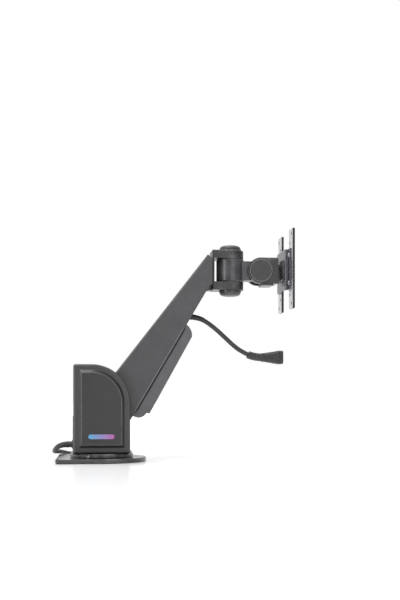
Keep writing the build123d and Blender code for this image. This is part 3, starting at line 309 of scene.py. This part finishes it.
# ------------------------------------------------------------------ leads
def lead_curve(name, points, radius, body, material):
    """Round lead on a smooth spline whose control points are its route's points."""
    curve = bpy.data.curves.new(name, "CURVE")
    curve.dimensions = "3D"
    curve.bevel_depth = radius
    curve.bevel_resolution = 6
    curve.use_fill_caps = True
    spline = curve.splines.new("NURBS")
    spline.points.add(len(points) - 1)
    for point, place in zip(spline.points, points):
        point.co = (*place, 1.0)
    spline.order_u = 3
    spline.use_endpoint_u = True
    spline.resolution_u = 12
    made = bpy.data.objects.new(name, curve)
    scene.collection.objects.link(made)
    curve.materials.append(mats[material])
    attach(made, body)
    return made


LEAD = 0.0033
front_route = (
    (0.1290, 0.0000, 0.2109),
    (0.1415, 0.0004, 0.2094),
    (0.1525, 0.0009, 0.2040),
    (0.1655, 0.0010, 0.1946),
    (0.1800, 0.0007, 0.1814),
    (0.1930, 0.0002, 0.1691),
    (0.2045, -0.0002, 0.1604),
    (0.2150, 0.0000, 0.1555),
)
front = lead_curve("front_lead_cord", front_route, LEAD, "arm", "lead_jacket")
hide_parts("front_lead")

COIL = Vector((0.002, 0.139, 0.0))
# keys of the put-away coil: turns wound, radius and height of the lead's centre
coil_keys = (
    (0.00, 0.0434, 0.0035),
    (0.55, 0.0434, 0.0035),
    (1.00, 0.0367, 0.0035),
    (1.55, 0.0367, 0.0035),
    (2.00, 0.0300, 0.0035),
    (2.10, 0.0300, 0.0036),
    (2.50, 0.0299, 0.0102),
    (3.00, 0.0300, 0.0102),
    (3.14, 0.0368, 0.0102),
    (3.55, 0.0368, 0.0102),
    (4.00, 0.0436, 0.0102),
    (4.08, 0.0438, 0.0103),
)
STEPS = 16  # points in one turn
START = math.radians(203)  # where round the coil the lead reaches it
LOOSE = 1.009  # a spline cuts inside its points by this much


def coil_points():
    """Points of the coil's turns, clockwise from where the lead reaches it."""
    points = []
    for count in range(1, int(coil_keys[-1][0] * STEPS) + 1):
        turned = count / STEPS
        for (t0, r0, z0), (t1, r1, z1) in zip(coil_keys, coil_keys[1:]):
            if t0 <= turned <= t1:
                share = (turned - t0) / (t1 - t0)
                share = share * share * (3 - 2 * share)
                radius = (r0 + (r1 - r0) * share) * LOOSE
                height = z0 + (z1 - z0) * share
                break
        angle = START - 2 * math.pi * turned
        points.append((COIL.x + radius * math.cos(angle), COIL.y + radius * math.sin(angle), height))
    return tuple(points)


rear_route = (
    (-0.0460, 0.0000, 0.0241),
    (-0.0545, 0.0000, 0.0241),
    (-0.0620, 0.0045, 0.0215),
    (-0.0670, 0.0130, 0.0176),
    (-0.0695, 0.0250, 0.0139),
    (-0.0700, 0.0395, 0.0114),
    (-0.0670, 0.0560, 0.0106),
    (-0.0615, 0.0725, 0.0094),
    (-0.0545, 0.0885, 0.0064),
    (-0.0475, 0.1040, 0.0040),
    (-0.0420, 0.1180, 0.0034),
)
tail_route = (
    (-0.0424, 0.1460, 0.0103),
    (-0.0412, 0.1590, 0.0106),
    (-0.0370, 0.1715, 0.0096),
    (-0.0300, 0.1825, 0.0070),
    (-0.0205, 0.1910, 0.0058),
    (-0.0090, 0.1955, 0.0066),
)
whole_route = rear_route + coil_points() + tail_route
rear = lead_curve("rear_lead_cord", whole_route, LEAD, "column", "lead_jacket")
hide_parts("rear_lead", "rear_coil", "rear_tail")


# ------------------------------------------------------------------ small parts
def mesh_piece(name, verts, faces, body, slot, material=None):
    mesh = bpy.data.meshes.new(name)
    mesh.from_pydata([tuple(v) for v in verts], [], faces)
    mesh.validate()
    mesh.polygons.foreach_set("use_smooth", [True] * len(mesh.polygons))
    mesh.set_sharp_from_angle(angle=math.radians(38))
    made = bpy.data.objects.new(name, mesh)
    scene.collection.objects.link(made)
    mesh.materials.append(material or mats[slot])
    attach(made, body)
    return made


def skin(rings, closed=False, capped=True):
    """Verts and faces over a row of equal rings; closed joins the last ring to the first."""
    verts = [v for ring in rings for v in ring]
    size = len(rings[0])
    faces = []
    spans = len(rings) if closed else len(rings) - 1
    for i in range(spans):
        low, high = i * size, ((i + 1) % len(rings)) * size
        for j in range(size):
            k = (j + 1) % size
            faces.append((low + j, low + k, high + k, high + j))
    if capped and not closed:
        faces.append(tuple(reversed(range(size))))
        faces.append(tuple(range(len(verts) - size, len(verts))))
    return verts, faces


def turns(sides):
    return [2 * math.pi * k / sides for k in range(sides)]


def tube_rings(path, radii, sides=28):
    """Rings square to a path of points, each with its own radius."""
    rings = []
    up = None
    for i, here in enumerate(path):
        ahead = path[min(i + 1, len(path) - 1)] - path[max(i - 1, 0)]
        way = ahead.normalized()
        if up is None:
            up = way.orthogonal().normalized()
        up = (up - way * up.dot(way)).normalized()
        out = way.cross(up)
        spokes = [up * math.cos(t) + out * math.sin(t) for t in turns(sides)]
        rings.append([here + radii[i] * spoke for spoke in spokes])
    return rings


def lathe(name, centre, axis, profile, body, slot, sides=64):
    """Turned piece: profile is (distance along the axis, radius), closed at both ends."""
    way = Vector(axis).normalized()
    side = way.orthogonal().normalized()
    out = way.cross(side)
    rings = []
    for along, radius in profile:
        mid = Vector(centre) + way * along
        rings.append([mid + radius * (side * math.cos(t) + out * math.sin(t)) for t in turns(sides)])
    return mesh_piece(name, *skin(rings), body, slot)


def outline(low, high, radius, steps=8):
    """Rounded rectangle between two (a, b) corners, anticlockwise."""
    points = []
    for x, y, start in (
        (high[0] - radius, low[1] + radius, -90),
        (high[0] - radius, high[1] - radius, 0),
        (low[0] + radius, high[1] - radius, 90),
        (low[0] + radius, low[1] + radius, 180),
    ):
        for i in range(steps + 1):
            turn = math.radians(start + 90 * i / steps)
            points.append((x + radius * math.cos(turn), y + radius * math.sin(turn)))
    return points


def lead_places(piece):
    """Points read along a lead's own spline."""
    bare = piece.data.copy()
    bare.bevel_depth = 0.0
    holder = bpy.data.objects.new("holder", bare)
    mesh = bpy.data.meshes.new_from_object(holder)
    places = [v.co.copy() for v in mesh.vertices]
    bpy.data.objects.remove(holder)
    bpy.data.meshes.remove(mesh)
    bpy.data.curves.remove(bare)
    return places


def stretch_of(places, start, length, step=0.0005):
    """Points along places from one distance on, at an even step."""
    wanted = [start + step * i for i in range(int(length / step) + 1)]
    found = []
    gone = 0.0
    index = 0
    for a, b in zip(places, places[1:]):
        run = (b - a).length
        while index < len(wanted) and run > 0 and wanted[index] <= gone + run:
            found.append(a.lerp(b, (wanted[index] - gone) / run))
            index += 1
        gone += run
    return found


def strain_relief(name, lead, body, length, wide, ribs, start=0.0):
    """Tapered, ribbed sleeve that follows a lead out of its housing."""
    path = stretch_of(lead_places(lead), start, length)
    radii = []
    for i in range(len(path)):
        share = i / (len(path) - 1)
        radius = wide + (LEAD + 0.0004 - wide) * share ** 0.8
        groove = 0.5 - 0.5 * math.cos(2 * math.pi * ribs * share)
        depth = 0.00055 * min(1.0, 6 * share, 8 * (1 - share))
        radii.append(max(radius - depth * groove ** 3, LEAD + 0.00015))
    return mesh_piece(name, *skin(tube_rings(path, radii)), body, "lead_moulding")


strain_relief("rear_strain_relief", rear, "column", 0.0225, 0.0049, 6, 0.0004)
strain_relief("front_strain_relief", front, "arm", 0.0215, 0.0046, 6)


def boot():
    """Grip boot between the front lead and its connector, grooved, with an end collar."""
    start, bend, end = (Vector(p) for p in ((0.2150, 0, 0.1555), (0.2242, 0, 0.1512), (0.2390, 0, 0.1512)))
    path, radii = [], []
    steps = 110
    for i in range(steps + 1):
        t = i / steps
        path.append(start * (1 - t) ** 2 + bend * 2 * t * (1 - t) + end * t * t)
        radius = 0.0058 + 0.0002 * t
        if t < 0.05:
            radius -= 0.0009 * (1 - t / 0.05) ** 2
        elif t > 0.86:
            radius += 0.0005 * min(1.0, (t - 0.86) / 0.02)
        else:
            groove = (0.5 - 0.5 * math.cos(2 * math.pi * 6 * (t - 0.05) / 0.81)) ** 3
            radius -= 0.0005 * groove
        radii.append(radius)
    made = mesh_piece("grip_boot", *skin(tube_rings(path, radii, 40)), "arm", "lead_moulding")
    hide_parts("lead_boot")
    return made


grip_boot = boot()


def band_rings(name, sections, body, slot):
    """Rounded-rectangle rings across X: sections are (x, half y, low z, high z, corner)."""
    rings = []
    for x, half, low, high, corner in sections:
        rings.append([Vector((x, a, b)) for a, b in outline((-half, low), (half, high), corner)])
    return mesh_piece(name, *skin(rings), body, slot)


low_c, high_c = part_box("lead_connector")
mid_z = (low_c[2] + high_c[2]) / 2
tall = (high_c[2] - low_c[2]) / 2
half_y = (high_c[1] - low_c[1]) / 2
# a rib's outline: distance along the connector, and height over its side
rib_profile = (
    (0.0, -0.0003),
    (0.0003, 0.0003),
    (0.0006, 0.0005),
    (0.0010, 0.0005),
    (0.0013, 0.0003),
    (0.0016, -0.0003),
)
for index in range(3):
    x = high_c[0] - 0.0072 + 0.0022 * index
    sections = []
    for along, rise in rib_profile:
        low_z, high_z = mid_z - tall - rise, mid_z + tall + rise
        sections.append((x + along, half_y + rise, low_z, high_z, 0.0045 + rise))
    band_rings(f"grip_rib_{index}", sections, "arm", "lead_moulding")


# radii of the side panels' beads, the tilt caps' beads and the arm cover's lips
BEAD = 0.00042
CAP_BEAD = 0.00045
LIP = 0.0006
ACROSS = Vector((0, 1, 0))


def bead_ring(here, out, radius):
    """Ring of a fine bead that runs round a face square to Y."""
    return [here + out * (radius * math.cos(t)) + ACROSS * (radius * math.sin(t)) for t in turns(10)]


def panel_bead(name, sign):
    """Fine moulded line round the raised panel of a side cover, pale as a painted highlight on the panel's
    edge.
    """
    low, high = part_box("side_cover_left" if sign > 0 else "side_cover_right")
    inset = 0.0121  # the panel's margin and most of its bevel
    face = high[1] if sign > 0 else low[1]
    rear_x, front_x = low[0] + inset, high[0] - inset
    low_z, top_z = low[2] + inset, high[2] - inset
    arc = 0.055 - inset  # radius of the panel's round top corner
    places = outline((rear_x, low_z), (front_x, top_z), 0.0008, 4)
    path = [p for p in places[:10] if p[1] < top_z - arc]
    for i in range(33):
        turn = math.radians(90 * i / 32)
        path.append((front_x - arc + arc * math.cos(turn), top_z - arc + arc * math.sin(turn)))
    path += [p for p in places if p[0] < front_x - arc]
    points = [Vector((a, face - sign * 0.00005, b)) for a, b in path]
    rings = []
    for i, here in enumerate(points):
        way = (points[(i + 1) % len(points)] - points[i - 1]).normalized()
        rings.append(bead_ring(here, way.cross(ACROSS).normalized(), BEAD))
    return mesh_piece(name, *skin(rings, closed=True), "column", "column_plastic", bead_highlight)


def arm_frame():
    """Base pivot and the directions along and across the links, from the record's joints."""
    places = {}
    for joint in frame["record"]["behaviour"]["joints"]:
        if joint["name"] in ("lift", "head_level"):
            places[joint["name"]] = Vector(joint["pos_m"])
    along = (places["head_level"] - places["lift"]).normalized()
    return places["lift"], along, Vector((-along.z, 0, along.x))


# the arm cover's edges: height over the pivot line at the base pivot, and slope along the arm
COVER_TOP = (0.0266, -0.06694)
COVER_LOW = (-0.03238, 0.06122)
TOP_INSET, LOW_INSET = 0.0014, 0.0012  # how far inside them the lips run
SEAM_START, SEAM_END = 0.0125, 0.1565  # where the lower cover begins and stops along the arm


def cover_seam(name, sign):
    """Near-black strip in the joint between the arm's cover and the cover under it: painted shade of the
    gap.
    """
    pivot, along, across = arm_frame()
    face = sign * (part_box("arm_cover")[1][1] - 0.0007)
    rings = []
    for i in range(41):
        u = SEAM_START + (SEAM_END - SEAM_START) * i / 40
        edge = COVER_LOW[0] + COVER_LOW[1] * u
        drop = 0.0017 * min(1.0, i / 1.5, (40 - i) / 1.5) + 0.0002
        mid = pivot + along * u + across * (edge - 0.00002)
        corners = ((0.0, 0.0), (0.0, -drop), (-0.0012, -drop), (-0.0012, 0.0))
        rings.append([mid + across * b + Vector((0, face + sign * a, 0)) for a, b in corners])
    return mesh_piece(name, *skin(rings), "arm", "guide_plastic", seam_shade)


def cover_lip(name, sign, start, end, height, slope):
    """Fine rolled lip on the arm's cover, pale as a painted highlight on its edge; its height over the pivot
    line changes evenly along it.
    """
    pivot, along, across = arm_frame()
    face = sign * (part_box("arm_cover")[1][1] - 0.0002)
    path, radii = [], []
    for i in range(49):
        u = start + (end - start) * i / 48
        path.append(pivot + along * u + across * (height + slope * u) + Vector((0, face, 0)))
        radii.append(LIP * min(1.0, 0.4 + i / 4, 0.4 + (48 - i) / 4))
    return mesh_piece(name, *skin(tube_rings(path, radii, 12)), "arm", "arm_plastic", lip_highlight)


# pale lips and tilt-cap beads: painted highlight along the arm cover's edges and round the caps' rims
lip_highlight = moulded("cover_lip", (0.150, 0.150, 0.155), 0.3, 0.4).material
for side, sign in (("left", 1), ("right", -1)):
    top, low = COVER_TOP[0] - TOP_INSET, COVER_LOW[0] + LOW_INSET
    cover_lip(f"cover_top_lip_{side}", sign, 0.002, 0.2605, top, COVER_TOP[1])
    cover_lip(f"cover_low_lip_{side}", sign, 0.014, 0.1560, low, COVER_LOW[1])
# near-black strips: painted shade in the joints under the arm's cover
seam_shade = jacket("cover_seam_shade", (0.004, 0.004, 0.004), 0.75).material
cover_seam("cover_seam_left", 1)
cover_seam("cover_seam_right", -1)
# pale beads: painted highlight round the edge of each side panel
bead_highlight = moulded("panel_bead", (0.115, 0.115, 0.120), 0.28, 0.4).material
panel_bead("panel_bead_left", 1)
panel_bead("panel_bead_right", -1)

# seam rings under the swivel's two domed caps
for name, cap, way in (("top_cap_ring", "top_cap", 1), ("bottom_cap_ring", "bottom_cap", -1)):
    low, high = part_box(cap)
    radius = (high[0] - low[0]) / 2
    level = low[2] if way > 0 else high[2]
    centre = ((low[0] + high[0]) / 2, 0.0, level)
    profile = ((0.0, radius - 0.0010), (0.0, radius + 0.0007), (0.0012, radius + 0.0010))
    profile += ((0.0026, radius + 0.0007), (0.0031, radius - 0.0004))
    lathe(name, centre, (0, 0, way), profile, "fork", "barrel_gloss")


def cap_bead(name, cap, sign):
    """Fine turned bead round the rim of a tilt cap, pale as a painted highlight on the rim."""
    low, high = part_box(cap)
    radius = (high[0] - low[0]) / 2 - 0.0009
    face = high[1] if sign > 0 else low[1]
    mid = Vector(((low[0] + high[0]) / 2, face - sign * 0.0001, (low[2] + high[2]) / 2))
    rings = []
    for i in range(72):
        around = 2 * math.pi * i / 72
        out = Vector((math.cos(around), 0, math.sin(around)))
        rings.append(bead_ring(mid + out * radius, out, CAP_BEAD))
    return mesh_piece(name, *skin(rings, closed=True), "tilt_head", "tilt_cap_plastic", lip_highlight)


cap_bead("tilt_cap_bead_left", "tilt_cap_left", 1)
cap_bead("tilt_cap_bead_right", "tilt_cap_right", -1)


def coil_tie():
    """Hook-and-loop strap round the coil's turns, its free end lapped over."""
    angle = math.radians(78)  # where round the coil it is tied
    wide, tall = 0.0107, 0.0066  # half sizes of its loop
    strap, half = 0.0006, 0.007  # its thickness and half width
    radial = Vector((math.cos(angle), math.sin(angle), 0))
    turns_mid, height = 0.0369, 0.0075
    mid = COIL + radial * turns_mid + Vector((0, 0, height))
    along = Vector((-math.sin(angle), math.cos(angle), 0))
    loop = []
    for i in range(57):
        turn = math.radians(-100 + 400 * i / 56)
        lapped = 0.0008 if i > 50 else 0.0
        a = math.copysign(abs(math.cos(turn)) ** 0.6, math.cos(turn)) * (wide + lapped)
        b = math.copysign(abs(math.sin(turn)) ** 0.6, math.sin(turn)) * (tall + lapped)
        loop.append(mid + radial * a + Vector((0, 0, max(b, -tall))))
    rings = []
    for place in loop:
        out = (place - mid).normalized()
        corners = ((-half, 0), (half, 0), (half, strap), (-half, strap))
        rings.append([place + along * w + out * t for w, t in corners])
    return mesh_piece("coil_tie", *skin(rings), "column", "guide_plastic")


coil_tie()

# plated sleeves of the plug's two pins
low_p, high_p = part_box("mains_plug")
pin_mid_y = high_p[1] - 0.013
for name, shift in (("plug_pin_left", -0.0095), ("plug_pin_right", 0.0095)):
    tip = high_p[0]
    profile = ((-0.0100, 0.00235), (-0.0100, 0.00250), (-0.0012, 0.00250), (-0.0004, 0.0021), (0.0, 0.0013))
    lathe(name, (tip - 0.00001, pin_mid_y + shift, 0.0115), (1, 0, 0), profile, "column", "turned_steel", 32)


# ------------------------------------------------------------------ floor and light
def plane(name, size, location, material):
    mesh = bpy.data.meshes.new(name)
    half = size / 2
    corners = [(-half, -half, 0), (half, -half, 0), (half, half, 0), (-half, half, 0)]
    mesh.from_pydata(corners, [], [(0, 1, 2, 3)])
    made = bpy.data.objects.new(name, mesh)
    made.location = location
    mesh.materials.append(material)
    scene.collection.objects.link(made)
    return made


def floor_material():
    """Pale desk with a soft reflection, glowing more the further it is from the object."""
    s = Shader("floor")
    tone = s.mix(s.noise(3.0, 2.0), (0.86, 0.86, 0.87), (0.90, 0.90, 0.90))
    s.bsdf.inputs["Emission Color"].default_value = (1.0, 1.0, 1.0, 1.0)
    reach = s.node("ShaderNodeVectorMath", operation="LENGTH")
    s.join(s.where, reach.inputs[0])
    glow = s.remap(reach.outputs["Value"], 0.25, 1.6, 0.06, 0.5)
    s.join(glow, s.bsdf.inputs["Emission Strength"])
    return s.done(tone, s.remap(s.noise(2.0), 0.3, 0.7, 0.22, 0.24)).material


floor = plane("floor", 12.0, (0, 0, -0.0004), floor_material())


def lamp(name, place, aim, wide, tall, watts):
    data = bpy.data.lights.new(name, "AREA")
    data.shape = "RECTANGLE"
    data.size = wide
    data.size_y = tall
    data.energy = watts
    made = bpy.data.objects.new(name, data)
    made.location = place
    way = Vector(aim) - Vector(place)
    made.rotation_euler = way.to_track_quat("-Z", "Y").to_euler()
    scene.collection.objects.link(made)
    return made


lamp("key", (-0.38, -0.80, 1.42), (0.05, 0, 0.15), 0.7, 0.6, 14)
lamp("front", (0.66, -1.65, 0.42), (0.2, 0, 0.25), 1.0, 0.7, 4.5)
lamp("strip", (-1.02, -0.86, 0.30), (0.0, 0, 0.18), 0.16, 1.0, 6)
lamp("top", (0.15, 0.25, 1.5), (0.1, 0, 0.0), 1.1, 0.8, 11)


def studio():
    """White room behind and above, dark in front, and an even pale backdrop in view."""
    world = bpy.data.worlds.new("world")
    world.use_nodes = True
    n = Nodes(world.node_tree)
    background = n.tree.nodes["Background"]
    way = n.node("ShaderNodeTexCoord").outputs["Generated"]
    behind = n.remap(n.part(way, "Y"), -0.15, 0.45, 0.10, 0.86, smooth=True)
    above = n.remap(n.part(way, "Z"), 0.2, 0.9, 0.0, 0.35, smooth=True)
    left = n.remap(n.part(way, "X"), -0.95, -0.55, 0.30, 0.0, smooth=True)
    room = n.math("ADD", n.math("ADD", behind, above), left)
    pick = n.node("ShaderNodeMix", data_type="FLOAT")
    n.join(n.node("ShaderNodeLightPath").outputs["Is Camera Ray"], pick.inputs[0])
    n.join(room, pick.inputs[2])
    pick.inputs[3].default_value = 1.0
    n.join(pick.outputs[0], background.inputs["Strength"])
    background.inputs["Color"].default_value = (1.0, 1.0, 1.0, 1.0)
    scene.world = world


studio()
scene.view_settings.view_transform = "Standard"
